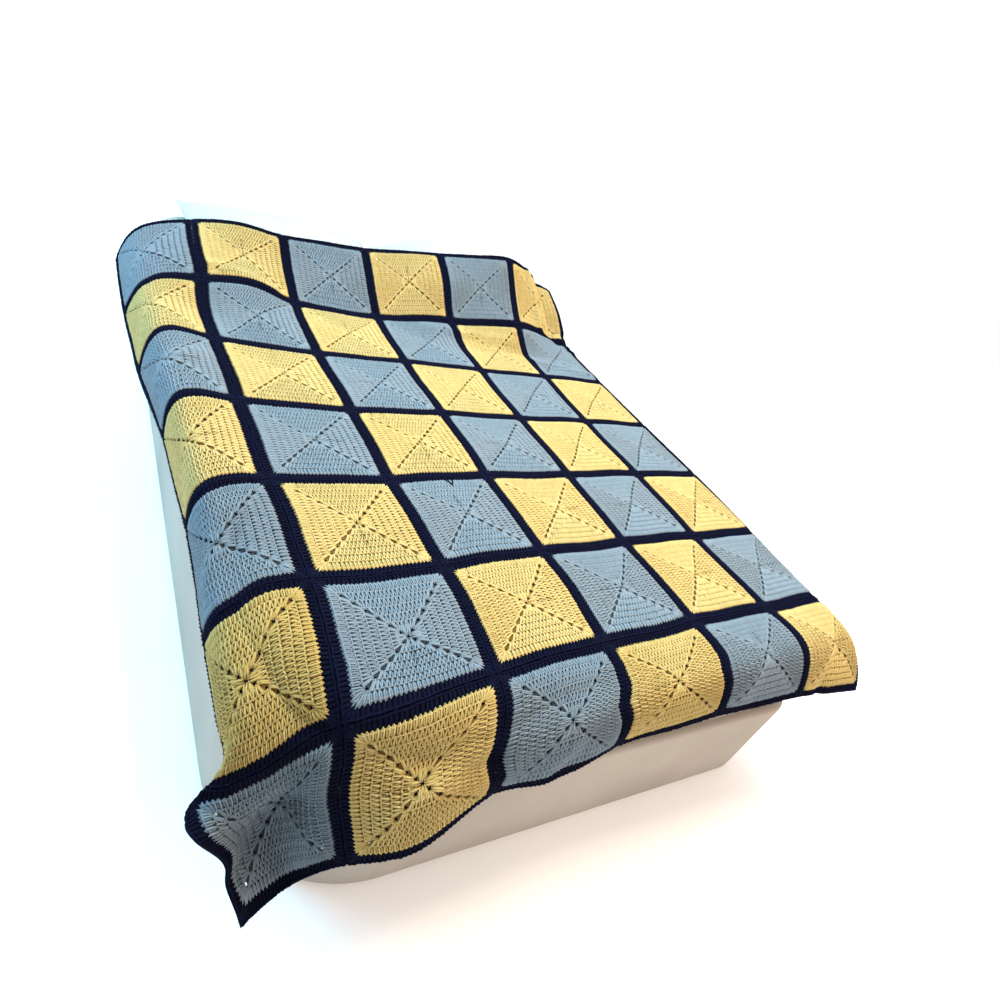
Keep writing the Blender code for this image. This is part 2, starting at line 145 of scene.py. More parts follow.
# The corner square's fold: a ridge along its upper seam, a hollow below it, the tip hanging.
CORNER_FOLD = [
    # u, v, in_left, in_foot, drop
    (0.0, 0.00, 0.007, -0.056, 0.345),
    (0.5, 0.00, 0.082, -0.013, 0.370),
    (0.0, 0.25, -0.007, -0.014, 0.297),
    (0.0, 0.50, -0.020, 0.008, 0.262),
    (0.5, 0.50, 0.052, 0.060, 0.262),
    (0.0, 0.75, -0.065, 0.028, 0.212),
    (0.0, 1.00, -0.062, 0.077, 0.220),
    (1.0, 1.00, 0.118, 0.060, 0.052),
    (1.5, 1.00, 0.242, 0.072, 0.010),
    (2.0, 1.00, 0.362, 0.071, 0.004),
    (3.0, 1.00, 0.601, 0.106, 0.004),
    (0.0, 1.25, -0.018, 0.094, 0.155),
    (0.0, 1.50, -0.020, 0.166, 0.143),
    (1.0, 1.50, 0.118, 0.182, 0.020),
]

# The rise over the pillows, a row for each seam across, at v = 5.5, 6, 6.5 and 7.
HEAD_FROM = 5.0
HEAD_RISE = [
    # u, front, slope, shoulder, hem
    (1.0, 0.008, 0.045, 0.075, 0.095),
    (1.5, 0.015, 0.046, 0.070, 0.118),
    (2.0, 0.005, 0.012, 0.055, 0.110),
    (3.0, 0.000, 0.006, 0.066, 0.125),
    (4.0, 0.000, 0.030, 0.110, 0.162),
    (5.0, 0.000, 0.060, 0.127, 0.205),
    (5.5, 0.000, 0.034, 0.100, 0.165),
    (6.0, 0.000, 0.004, 0.060, 0.100),
]

# Soft creases: a line on the blanket, its half width in squares, and its height.
CREASES = [
    # u_from, v_from, u_to, v_to, half_width, height
    (0.12, 0.25, 0.62, 0.55, 0.22, -0.015),
    (0.02, 0.70, 0.55, 0.80, 0.16, 0.009),
    (0.80, 0.20, 0.90, 0.85, 0.14, 0.007),
    (1.52, 0.62, 1.98, 0.42, 0.16, -0.010),
    (1.30, 0.28, 1.92, 0.62, 0.12, 0.006),
    (2.55, 0.10, 2.95, 0.55, 0.14, -0.007),
    (5.30, 0.05, 5.62, 0.45, 0.10, -0.007),
    (4.20, 0.20, 4.35, 0.60, 0.16, 0.005),
    (0.35, 2.30, 0.70, 2.75, 0.15, 0.006),
    (0.30, 4.35, 0.75, 4.60, 0.16, 0.005),
    (1.10, 6.20, 1.75, 6.05, 0.12, 0.007),
    (2.30, 6.10, 3.30, 6.02, 0.12, -0.004),
    (3.60, 5.85, 4.80, 5.72, 0.12, 0.006),
    (5.42, 6.95, 5.48, 6.05, 0.07, 0.010),
    (5.72, 6.95, 5.78, 6.10, 0.12, -0.016),
    (6.00, 6.95, 6.00, 6.20, 0.12, 0.014),
    (5.80, 6.08, 6.00, 6.02, 0.08, 0.008),
    (6.00, 5.85, 6.00, 5.75, 0.10, 0.012),
    (5.55, 6.15, 5.95, 5.80, 0.10, -0.008),
    (5.10, 5.35, 5.90, 5.15, 0.10, 0.006),
]

# How much wider than usual the edging is beside each join, and beside the two hems.
JOINS_ACROSS = (0.008, 0.004, 0.001, 0.000, 0.000, 0.000, -0.001)
JOINS_UP = (0.007, 0.006, 0.002, 0.001, 0.000, 0.000, 0.001, 0.001)

# Small shifts along the cloth, in squares: where, and how far across and up.
NUDGES = [
    # u, v, across, up
    (1.5, 1.5, 0.00, -0.06),
    (3.5, 0.5, 0.00, 0.05),
    (4.5, 0.5, 0.00, 0.04),
    (2.5, 0.6, 0.04, 0.04),
    (6.0, 1.0, 0.08, 0.00),
]
NUDGE_REACH = 0.30
WANDER = 0.010           # how far, besides, every place strays, in long and in short waves
WANDER_SHORT = 0.006
HEM_FADE = 0.1           # and how near a hem that fades out

# Painted shade: the yarn of the squares that hang at the near corner and along the foot is
# drawn this much darker, for the shade that falls there. By row and column, counted from 0: what
# is added to its shade.
SQUARE_PAINTED_SHADE = {(0, 0): -0.25, (1, 0): -0.24, (2, 0): -0.13}
SQUARE_PAINTED_SHADE.update({(0, column): -0.08 for column in (1, 2, 3, 4)})

# The pillows. Places are from the mattress's left and foot edges to the pillow's middle.
PILLOWS = [
    # name, from_left, from_foot, width, depth, height, seam_height
    ("pillow_left", 0.365, 1.648, 0.600, 0.460, 0.110, 0.030),
    ("pillow_right", 0.940, 1.618, 0.520, 0.460, 0.192, 0.030),
]
PILLOW_SEAM = 0.006
PILLOW_PINCH = 0.05
PILLOW_FULLNESS = 2.0
PILLOW_ROUNDNESS = 0.6
PILLOW_BELLY = 1.6
PILLOW_CELLS = 36
PILLOW_MARGIN = 0.003    # its crown stays this far under its height, so that wrinkles fit in
PUCKER = 0.0022          # height of the wrinkles along its seam, and across its corners
TUG = 0.0030
BAND_MARGIN = 0.012      # the dark band of its case, painted shade under the blanket's holes, ends this far inside the blanket's hem

# The camera, found from the photograph's seams: where it stands from the mattress's left and
# foot edges and its top, and where its own axes point.
CAMERA_FROM_BED = (-0.2190, -0.4258, 0.7845)
CAMERA_RIGHT = (0.8344, -0.4140, 0.3639)
CAMERA_DOWN = (0.0103, -0.6484, -0.7612)
CAMERA_LENS = 24.03      # millimetres, on a sensor 36 mm wide

RANDOM_SEED = 11

# ---------------------------------------------------------------- the drape

LATTICE = 32             # steps of the sampled surface along one square
NET = 8                  # springs along one square, in the net that settles on that surface
NET_PASSES = 160
NET_SPRING = 0.98 * PITCH / NET
NET_SLIDE = 0.22         # how far the net slides at a time, and how firmly it is held back
NET_HOLD = 0.004
SWELL = 0.0016           # how far a square swells between its joins, and how that varies
SWELL_DRIFT = 0.6
SWELL_ROUNDNESS = 0.6
HALF_U = [half / 2 for half in range(2 * COLUMNS + 1)]
HALF_V = [half / 2 for half in range(2 * ROWS + 1)]
KNOTS_V = sorted(HALF_V + [0.25, 0.75, 1.25])


def smooth_curve(knots, values, at):
    """Points at `at` of a smooth curve through `values`, whose first axis goes with `knots`."""
    knots = np.asarray(knots, float)
    at = np.asarray(at, float)
    spread = (-1,) + (1,) * (values.ndim - 1)
    span = np.diff(knots)
    slope = np.diff(values, axis=0) / span.reshape(spread)
    share = (span[1:] / (span[:-1] + span[1:])).reshape(spread)
    tangent = np.empty_like(values)
    tangent[1:-1] = slope[:-1] * share + slope[1:] * (1 - share)
    tangent[0] = 1.5 * slope[0] - 0.5 * tangent[1]
    tangent[-1] = 1.5 * slope[-1] - 0.5 * tangent[-2]
    left = np.clip(np.searchsorted(knots, at, side="right") - 1, 0, len(span) - 1)
    width = span[left].reshape(spread)
    t = ((at - knots[left]) / span[left]).reshape(spread)
    return (
        (2 * t**3 - 3 * t**2 + 1) * values[left]
        + (t**3 - 2 * t**2 + t) * width * tangent[left]
        + (3 * t**2 - 2 * t**3) * values[left + 1]
        + (t**3 - t**2) * width * tangent[left + 1]
    )


def table_row(table, at):
    """The values of a table, read at `at` along its first column."""
    first, *columns = np.array(table, float).T
    return [float(np.interp(at, first, column)) for column in columns]


def lay_point(u, v):
    """Where (u, v) lies on the top of the bed. The cloth's middle is at height 0 there."""
    bow = COLUMNS_BOW * max(v - LAY_V, 0.0) ** 2
    reach = ((u - CREEP_U) ** 2 + (v - CREEP_V) ** 2) / (2 * CREEP_REACH**2)
    x = LAY_FROM_LEFT + STEP_ACROSS * (u - LAY_U) + COLUMNS_LEAN * (v - LAY_V) + bow
    y = LAY_FROM_FOOT + ROWS_LEAN * (u - LAY_U) + STEP_UP * (v - LAY_V) - CREEP * math.exp(-reach)
    return [x, y, 0.0]


def drape_knots():
    """The cloth's middle at each knot, from the mattress's left and foot edges and its lay."""
    knots = np.array([[lay_point(u, v) for u in HALF_U] for v in HALF_V])
    for j, v in enumerate(HALF_V):
        if v >= 1:
            hang_left(knots[j], v)
    for i, u in enumerate(HALF_U):
        if u >= 1:
            hang_foot(knots[:, i], u)
            rise_head(knots[:, i], u)
    for u, v, in_left, in_foot, drop in CORNER_FOLD:
        if v in HALF_V:
            knots[HALF_V.index(v), HALF_U.index(u)] = (in_left, in_foot, -drop)
    knots = smooth_curve(HALF_V, knots, KNOTS_V)
    for u, v, in_left, in_foot, drop in CORNER_FOLD:
        knots[KNOTS_V.index(v), HALF_U.index(u)] = (in_left, in_foot, -drop)
    return knots


def hang_left(row, v):
    """Bend the first three knots of a row over the left edge."""
    hem_out, hem_drop, hem_shift, half_out, half_drop, half_shift, crest = table_row(LEFT_HANG, v)
    row[0] = (-hem_out, row[0][1] + hem_shift, -hem_drop)
    row[1] = (-half_out, row[1][1] + half_shift, -half_drop)
    row[2][2] = -crest


def hang_foot(column, u):
    """Bend the first three knots of a column over the foot edge."""
    hem_out, hem_drop, hem_shift, half_out, half_drop, half_shift, crest = table_row(FOOT_HANG, u)
    column[0] = (column[0][0] + hem_shift, -hem_out, -hem_drop)
    column[1] = (column[1][0] + half_shift, -half_out, -half_drop)
    if u > 1:
        column[2][2] = -crest


def rise_head(column, u):
    """Lift a column's last knots over the pillows, and draw them in by what the slope takes."""
    first = HALF_V.index(HEAD_FROM)
    step = STEP_UP / 2
    height = 0.0
    drawn_in = 0.0
    for index, rise in enumerate(table_row(HEAD_RISE, u), start=1):
        drawn_in += step - math.sqrt(step**2 - (rise - height) ** 2)
        height = rise
        column[first + index][2] = height
        column[first + index][1] -= drawn_in


def rounded_distance(past_a, past_b, radius):
    """How far outside a rounded corner, from how far past its round's middle each way."""
    outside = np.hypot(np.maximum(past_a, 0), np.maximum(past_b, 0))
    return outside + np.minimum(np.maximum(past_a, past_b), 0) - radius


def mattress_distance(points):
    """How far points are outside the rounded mattress, in the frame of the knots."""
    across = points[..., 0] - MATTRESS_WIDTH / 2
    along = points[..., 1] - MATTRESS_LENGTH / 2
    corner = np.where((across < 0) & (along < 0), WORN_CORNER, MATTRESS_CORNER)
    past_x = np.abs(across) - (MATTRESS_WIDTH / 2 - corner)
    past_y = np.abs(along) - (MATTRESS_LENGTH / 2 - corner)
    past_plan = rounded_distance(past_x, past_y, corner) + DRAPE_SHOULDER
    past_top = points[..., 2] - (-(CLOTH / 2 + SEAM_GAP) - DRAPE_SHOULDER)
    return rounded_distance(past_plan, past_top, DRAPE_SHOULDER)


def rest_on_mattress(points):
    """Push points out along the mattress's own normal until the cloth clears it."""
    for _ in range(DRAPE_PASSES):
        distance = mattress_distance(points)
        normal = np.stack([
            mattress_distance(points + step) - mattress_distance(points - step)
            for step in SLOPE_STEP * np.eye(3)
        ], axis=-1)
        length = np.linalg.norm(normal, axis=-1, keepdims=True)
        normal = normal / np.maximum(length, 1e-12)
        flatness = np.clip(normal[..., 2], 0, 1) ** FLAT_POWER
        clearance = SEAM_GAP * flatness + DRAPE_CLEARANCE * (1 - flatness)
        missing = np.maximum(CLOTH / 2 + clearance - distance, 0)
        points = points + normal * missing[..., None]
    return points


def right_sag(points):
    """How far the cloth sinks over the mattress's right shoulder."""
    past = np.clip(points[..., 0] - (MATTRESS_WIDTH - DRAPE_SHOULDER), 0, RIGHT_REACH)
    hanging = np.clip(-points[..., 2] / HANG_FADE, 0, 1)
    return (DRAPE_SHOULDER - np.sqrt(DRAPE_SHOULDER**2 - past**2)) * (1 - hanging)


def surface_normals(points):
    """Unit normals of a lattice of points whose axes are v and u."""
    across = np.gradient(points, axis=1)
    upward = np.gradient(points, axis=0)
    normal = np.cross(across, upward)
    return normal / np.linalg.norm(normal, axis=-1, keepdims=True)


def crease_height(u, v):
    """How far the creases lift the cloth at (u, v)."""
    height = np.zeros_like(u)
    for u_from, v_from, u_to, v_to, half_width, rise in CREASES:
        along = np.array([u_to - u_from, v_to - v_from])
        length = np.hypot(*along)
        along = along / length
        t = ((u - u_from) * along[0] + (v - v_from) * along[1]) / length
        away = (u - u_from) * -along[1] + (v - v_from) * along[0]
        ends = np.maximum(np.maximum(-t, t - 1), 0) * length
        height += rise * np.exp(-(away**2 + ends**2) / (2 * half_width**2 / 4))
    return height


def ripple_height(u, v):
    """Slight unevenness of hand made cloth: each square swells a little between its joins."""
    swell = np.abs(np.sin(math.pi * u) * np.sin(math.pi * v)) ** SWELL_ROUNDNESS
    drift = np.sin(3.1 * u + 1.7 * v) * np.sin(1.3 * u - 2.3 * v + 0.6)
    return SWELL * swell * (1 + SWELL_DRIFT * drift)


def sampled_cloth():
    """The cloth's middle and its normals on a fine lattice over the whole blanket."""
    us = np.linspace(0, COLUMNS, COLUMNS * LATTICE + 1)
    vs = np.linspace(0, ROWS, ROWS * LATTICE + 1)
    along = smooth_curve(KNOTS_V, drape_knots(), vs)
    points = np.swapaxes(smooth_curve(HALF_U, np.swapaxes(along, 0, 1), us), 0, 1)
    points[..., 2] -= right_sag(points)
    points = rest_on_mattress(points)
    grid_u, grid_v = np.meshgrid(us, vs)
    lift = crease_height(grid_u, grid_v) + ripple_height(grid_u, grid_v)
    points = rest_on_mattress(points + surface_normals(points) * lift[..., None])
    normals = surface_normals(points)
    lay_height = MATTRESS_TOP + SEAM_GAP + CLOTH / 2
    return points + np.array([MATTRESS_LEFT, MATTRESS_FOOT, lay_height]), normals


CLOTH_POINTS, CLOTH_NORMALS = sampled_cloth()


def read_lattice(field, u, v, steps=LATTICE):
    """A field with so many steps to a square, read between its points."""
    at_u = np.clip(u * steps, 0, COLUMNS * steps - 1e-6)
    at_v = np.clip(v * steps, 0, ROWS * steps - 1e-6)
    i = at_u.astype(int)
    j = at_v.astype(int)
    s = (at_u - i)[..., None]
    t = (at_v - j)[..., None]
    low = field[j, i] * (1 - s) + field[j, i + 1] * s
    high = field[j + 1, i] * (1 - s) + field[j + 1, i + 1] * s
    return low * (1 - t) + high * t


def even_out():
    """Where each (u, v) goes along the cloth, so that no square is stretched in one place.

    A net of springs as long as the crochet is when laid flat slides over the draped surface,
    held to the hems and, weakly, to where it starts.
    """
    us = np.linspace(0, COLUMNS, COLUMNS * NET + 1)
    vs = np.linspace(0, ROWS, ROWS * NET + 1)
    start_u, start_v = np.meshgrid(us, vs)
    net_u, net_v = start_u.copy(), start_v.copy()
    slope_u = np.gradient(CLOTH_POINTS, axis=1) * LATTICE
    slope_v = np.gradient(CLOTH_POINTS, axis=0) * LATTICE
    for _ in range(NET_PASSES):
        points = read_lattice(CLOTH_POINTS, net_u, net_v)
        pull = np.zeros_like(points)
        for axis in (0, 1):
            step = np.diff(points, axis=axis)
            length = np.linalg.norm(step, axis=-1, keepdims=True)
            force = np.swapaxes(step * (1 - NET_SPRING / length), 0, axis)
            np.swapaxes(pull, 0, axis)[:-1] += force
            np.swapaxes(pull, 0, axis)[1:] -= force
        along_u = read_lattice(slope_u, net_u, net_v)
        along_v = read_lattice(slope_v, net_u, net_v)
        move_u = (pull * along_u).sum(-1) / (along_u**2).sum(-1)
        move_v = (pull * along_v).sum(-1) / (along_v**2).sum(-1)
        net_u += NET_SLIDE * move_u + NET_HOLD * (start_u - net_u)
        net_v += NET_SLIDE * move_v + NET_HOLD * (start_v - net_v)
        net_u[:, [0, -1]] = start_u[:, [0, -1]]
        net_v[[0, -1], :] = start_v[[0, -1], :]
    return np.stack([net_u, net_v], axis=-1)


NET_PLACES = even_out()


def on_cloth(u, v, n):
    """World places of (u, v) on the blanket, by the settled net, n out of the cloth."""
    places = read_lattice(NET_PLACES, u, v, NET)
    u, v = places[..., 0], places[..., 1]
    normals = read_lattice(CLOTH_NORMALS, u, v)
    normals = normals / np.linalg.norm(normals, axis=-1, keepdims=True)
    return read_lattice(CLOTH_POINTS, u, v) + normals * n[..., None]


# ---------------------------------------------------------------- materials

ROUGHNESS = 0.90
YARN_SPECULAR = 0.06
FABRIC_SPECULAR = 0.15
FABRIC_SHEEN = 0.10
YARN_PATCHES = 0.24      # how much a yarn's shade wanders, in soft patches and in fine flecks
YARN_FLECKS = 0.30
YARN_FUZZ = 0.35         # how much its fuzz stands out, next to its plies
PLIES = 2.0
PLY_TURNS = 220.0        # ridges of its plies, crossed by a line along a metre of yarn

YARNS = {
    # name: sheen, colour with painted shade in the hollows, between, with painted highlight on
    # the crowns
    "yarn_navy": (0.0, (0.0010, 0.0013, 0.007), (0.0013, 0.0020, 0.010), (0.0024, 0.0034, 0.016)),
    "yarn_blue": (0.03, (0.025, 0.034, 0.042), (0.127, 0.167, 0.202), (0.180, 0.228, 0.272)),
    "yarn_yellow": (0.03, (0.118, 0.063, 0.010), (0.360, 0.262, 0.087), (0.474, 0.376, 0.167)),
}
FABRICS = {
    # name: darkest colour, lightest colour, threads, blotches
    "ticking_white": ((0.29, 0.27, 0.245), (0.35, 0.335, 0.31), 260.0, 5.0),
    "slate_and_painted_shade": ((0.012, 0.014, 0.018), (0.026, 0.030, 0.038), 300.0, 6.0),
    "cover_cream": ((0.29, 0.26, 0.225), (0.36, 0.33, 0.29), 130.0, 4.0),
    "pillow_white": ((0.36, 0.35, 0.34), (0.42, 0.41, 0.40), 420.0, 6.0),
}


def add_node(tree, kind, **values):
    """A node of this kind with some of its properties and inputs set."""
    node = tree.nodes.new(kind)
    for name, value in values.items():
        if name in node.inputs.keys():
            node.inputs[name].default_value = value
        else:
            setattr(node, name, value)
    return node


def start_material(name, roughness, sheen, specular):
    """A new material, its tree and its Principled shader, with plain constants set."""
    material = bpy.data.materials.new(name)
    material.use_nodes = True
    tree = material.node_tree
    shader = tree.nodes["Principled BSDF"]
    shader.inputs["Roughness"].default_value = roughness
    shader.inputs["Sheen Weight"].default_value = sheen
    shader.inputs["Sheen Roughness"].default_value = 0.5
    shader.inputs["Specular IOR Level"].default_value = specular
    return material, tree, shader


def ramp_colours(tree, source, stops):
    """A colour ramp fed by a socket. stops: (position, colour)."""
    ramp = tree.nodes.new("ShaderNodeValToRGB")
    elements = ramp.color_ramp.elements
    while len(elements) < len(stops):
        elements.new(0.5)
    for element, (position, colour) in zip(elements, stops):
        element.position = position
        element.color = (*colour, 1.0)
    tree.links.new(source, ramp.inputs["Fac"])
    return ramp.outputs["Color"]


def math_node(tree, operation, *values):
    """A Math node whose inputs are each a socket or a number."""
    node = tree.nodes.new("ShaderNodeMath")
    node.operation = operation
    for socket, value in zip(node.inputs, values):
        if isinstance(value, (int, float)):
            socket.default_value = value
        else:
            tree.links.new(value, socket)
    return node.outputs[0]


def noise_at(tree, place, scale, detail):
    """The level of a noise at each place."""
    noise = add_node(tree, "ShaderNodeTexNoise", Scale=scale, Detail=detail)
    tree.links.new(place.outputs["Position"], noise.inputs["Vector"])
    return noise.outputs["Fac"]


def set_surface(tree, shader, colour, height, strength, distance):
    """Give a shader its colour, and a bump of a height."""
    bump = add_node(tree, "ShaderNodeBump", Strength=strength, Distance=distance)
    tree.links.new(height, bump.inputs["Height"])
    tree.links.new(bump.outputs["Normal"], shader.inputs["Normal"])
    tree.links.new(colour, shader.inputs["Base Color"])


def make_yarn(name, sheen, deep, base, light):
    """Plied yarn. The mesh's shade runs from painted shade in the hollows to painted highlight on
    the crowns of its strands.
    """
    material, tree, shader = start_material(name, ROUGHNESS, sheen, YARN_SPECULAR)
    place = tree.nodes.new("ShaderNodeNewGeometry")
    shade = add_node(tree, "ShaderNodeAttribute", attribute_name="shade")
    patches = noise_at(tree, place, 9.0, 3.0)
    flecks = noise_at(tree, place, 420.0, 2.0)
    uneven = math_node(tree, "MULTIPLY_ADD", patches, YARN_PATCHES, -YARN_PATCHES / 2)
    fine = math_node(tree, "MULTIPLY_ADD", flecks, YARN_FLECKS, -YARN_FLECKS / 2)
    level = math_node(tree, "ADD", shade.outputs["Fac"], uneven)
    level = math_node(tree, "ADD", level, fine)
    # Painted shade in the hollows, painted highlight on the crowns, with random tone.
    colour = ramp_colours(tree, level, [(0.0, deep), (0.55, base), (1.0, light)])
    strand = add_node(tree, "ShaderNodeUVMap", uv_map="strand")
    parts = tree.nodes.new("ShaderNodeSeparateXYZ")
    tree.links.new(strand.outputs["UV"], parts.inputs["Vector"])
    around = math_node(tree, "MULTIPLY", parts.outputs["Y"], PLIES)
    turns = math_node(tree, "MULTIPLY_ADD", parts.outputs["X"], PLY_TURNS, around)
    plies = math_node(tree, "PINGPONG", turns, 0.5)
    fuzz = noise_at(tree, place, 1400.0, 3.0)
    height = math_node(tree, "MULTIPLY_ADD", fuzz, YARN_FUZZ, plies)
    set_surface(tree, shader, colour, height, 0.8, 0.0006)
    return material


def make_fabric(name, low, high, threads, blotches):
    """Plain woven cotton: two crossing thread waves, with soft blotches of tone."""
    material, tree, shader = start_material(name, ROUGHNESS, FABRIC_SHEEN, FABRIC_SPECULAR)
    place = tree.nodes.new("ShaderNodeNewGeometry")
    crossed = []
    for direction in ("X", "Y", "Z"):
        wave = add_node(tree, "ShaderNodeTexWave", Scale=threads, Distortion=0.6)
        wave.bands_direction = direction
        tree.links.new(place.outputs["Position"], wave.inputs["Vector"])
        crossed.append(wave.outputs["Fac"])
    weave = math_node(tree, "MULTIPLY", crossed[0], crossed[1])
    weave = math_node(tree, "ADD", weave, crossed[2])
    faint = math_node(tree, "MULTIPLY", weave, 0.15)
    level = math_node(tree, "ADD", noise_at(tree, place, blotches, 4.0), faint)
    colour = ramp_colours(tree, level, [(0.30, low), (0.80, high)])
    set_surface(tree, shader, colour, weave, 0.35, 0.0008)
    return material


# ---------------------------------------------------------------- strands of yarn

# Where a strand of each kind runs, in one stitch: how far along the round, outward and out of
# the cloth, in metres from the middle of its foot, and its radius there. A row of each table is
# (along, outward, out, radius).
ARM_LEFT = [
    (0.0000, -0.0028, -0.0008, 0.0018),
    (-0.0018, 0.0056, 0.0006, 0.0029),
    (-0.0032, 0.0158, 0.0000, 0.0026),
]
ARM_RIGHT = [
    (-0.0006, -0.0028, -0.0006, 0.0016),
    (0.0014, 0.0046, 0.0020, 0.0027),
    (0.0036, 0.0158, 0.0008, 0.0027),
]
TOOTH_LEFT = [
    (0.0000, -0.0028, -0.0008, 0.0018),
    (-0.0020, 0.0060, 0.0006, 0.0029),
    (-0.0017, 0.0146, 0.0006, 0.0029),
    (0.0002, 0.0180, 0.0006, 0.0006),
]
TOOTH_RIGHT = [
    (-0.0006, -0.0028, -0.0006, 0.0016),
    (0.0016, 0.0050, 0.0020, 0.0027),
    (0.0020, 0.0142, 0.0016, 0.0028),
    (0.0006, 0.0184, 0.0010, 0.0006),
]
TOP = [
    (-0.0046, 0.0134, 0.0004, 0.0010),
    (0.0000, 0.0150, 0.0022, 0.0018),
    (0.0046, 0.0166, 0.0006, 0.0011),
]
EDGING_POST = [
    (0.0000, -0.0022, -0.0004, 0.0012),
    (0.0000, 0.0036, 0.0012, 0.0041),
    (0.0004, 0.0118, 0.0006, 0.0047),
]
EDGING_TOP = [
    (-0.0048, 0.0122, 0.0006, 0.0020),
    (0.0000, 0.0128, 0.0022, 0.0026),
    (0.0048, 0.0132, 0.0008, 0.0020),
]
STRAND_SIDES = 3
FAN_SIDES = 4
ARM_FLAT = 0.85          # how thick a strand is, as a share of its width: an arm of a stitch,
FAN_FLAT = 0.60          # a strand that fans into a corner,
EDGING_FLAT = 0.30       # and a post of the edging
LOW_SHADE = 0.29         # the painted shade of a strand's underside, the painted highlight that its crown adds,
CROWN_HIGHLIGHT = 0.61
OWN_SHADE = 0.10         # and how far one strand may differ from the next
CROWN_RISE = 0.0060      # from the lowest yarn to the highest
# The ground between the strands is drawn in the hollows' colour: painted shade.
GROUND_SHADE = 0.05
ARM_TONE = 0.09          # how much darker the left arm of a stitch is than its right,
TOP_TONE = 0.08          # and how much lighter the tops are, of a round and of the edging
EDGING_TOP_TONE = 0.10
JITTER = 0.0003          # how far a stitch strays from its place
JITTER_SHARE = (1.0, 1.0, 0.6)   # of that, along, outward and out of the cloth
FIRST_FAN = 35.0         # degrees between the three stitches on a side of the first round
CORNER_LEAN = -0.35      # an arm beside an open corner leans away from it, by this share
CORNER_FOOT = 0.0022     # how far before the corner the last stitch of a side stands,
NEXT_FOOT = 0.0050       # and the one before it
CORNER_TOP = 0.0022      # how far past the last stitch its chain goes, towards the corner
CHAIN_RADIUS = 0.0018
START_POST = 0.55        # the chain that starts a round, as a share of a stitch's width
START_ROUNDS = 4         # the first rounds, in which it leaves open spaces beside it
TOOTH_BACK = 0.0012      # the last round's chain is drawn in by the edging
EDGING_COUNT = 30        # posts of the edging along a side
EDGING_FOOT = 0.001      # the outer ones stand at least this far before the colour's corner
EDGING_END = 0.0016      # the edging's tops end this far before the middle of the join
EDGING_TURN = 0.002      # its corner chain starts this far before its last top
LOOSE_RADIUS = 0.0017
LIFT = 0.0004            # all the yarn lies this much to the cloth's upper side
GROUND_DOWN = 0.0009     # the felted ground between the strands lies this much below

# Loose ends of the dark yarn that lie on a square: its row and column, and a path on it.
LOOSE_ENDS = [
    (2, 2, ((0.003, 0.116, 0.0040), (0.008, 0.106, 0.0066), (0.014, 0.094, 0.0048))),
    (2, 2, ((0.026, 0.114, 0.0040), (0.020, 0.104, 0.0062), (0.013, 0.090, 0.0046))),
]


class Strands:
    """Strands of yarn of one square, gathered as arrays and turned into one mesh."""

    def __init__(self, random):
        self.random = random
        self.parts = []
        self.count = 0

    def add(self, paths, radii, sides, flat, slot, tone):
        """Add tubes along paths (k, m, 3), in a square's own frame."""
        strands, rings, _ = paths.shape
        tangent = np.gradient(paths, axis=1)
        side = np.cross(tangent, np.array([0.0, 0.0, 1.0]))
        side /= np.maximum(np.linalg.norm(side, axis=-1, keepdims=True), 1e-9)
        lift = np.cross(side, tangent)
        lift /= np.linalg.norm(lift, axis=-1, keepdims=True)
        angle = math.pi / 2 + 2 * math.pi * np.arange(sides) / sides
        radii = np.broadcast_to(radii, (strands, rings))[..., None, None]
        ring = np.cos(angle)[:, None] * side[:, :, None] * radii
        ring = ring + np.sin(angle)[:, None] * lift[:, :, None] * radii * flat
        points = paths[:, :, None] + ring
        own = self.random.uniform(-OWN_SHADE, OWN_SHADE, (strands, 1, 1)) + tone
        # Painted shade and highlight: a strand is drawn darker low in the cloth and lighter on
        # its crown.
        crown = np.clip(0.5 + points[..., 2] / CROWN_RISE, 0, 1)
        base = self.count + np.arange(strands)[:, None, None] * rings * sides
        j = np.arange(rings - 1)[None, :, None] * sides
        a = np.arange(sides)[None, None, :]
        b = (a + 1) % sides
        near_ring = base + j
        far_ring = near_ring + sides
        quads = np.stack([near_ring + a, near_ring + b, far_ring + b, far_ring + a], -1)
        quads = quads.reshape(-1, 4)
        step = np.linalg.norm(np.diff(paths, axis=1), axis=-1)
        length = np.concatenate([np.zeros((strands, 1)), np.cumsum(step, axis=1)], axis=1)
        near = np.broadcast_to(length[:, :-1, None], (strands, rings - 1, sides))
        far = np.broadcast_to(length[:, 1:, None], (strands, rings - 1, sides))
        start = np.broadcast_to(a / sides, near.shape)
        end = start + 1 / sides
        uvs = np.stack([near, start, near, end, far, end, far, start], -1)
        shades = (LOW_SHADE + CROWN_HIGHLIGHT * crown + own).reshape(-1)
        slots = np.full(len(quads), slot)
        self.parts.append((points.reshape(-1, 3), quads, uvs.reshape(-1, 4, 2), shades, slots))
        self.count += strands * rings * sides


def turned(points, side):
    """Points of the upper side of a square, turned to one of its four sides."""
    x, y, n = points[..., 0], points[..., 1], points[..., 2]
    for _ in range(side):
        x, y = y, -x
    return np.stack([x, y, n], axis=-1)


def stitch_paths(table, foot, top, inner, outer, jitter, lean=1.0):
    """Paths and radii of one strand in each stitch, on a square's upper side."""
    rows = np.array(table)
    share = np.clip(rows[:, 1] / (outer - inner), 0, 1)
    along = foot[:, None] + (top - foot)[:, None] * share + rows[:, 0] * lean
    outward = inner + rows[:, 1] * np.ones((len(foot), 1))
    out = rows[:, 2] * np.ones((len(foot), 1)) + LIFT
    paths = np.stack([along, outward, out], axis=-1)
    return paths + jitter * np.array(JITTER_SHARE), np.tile(rows[:, 3], (len(foot), 1))


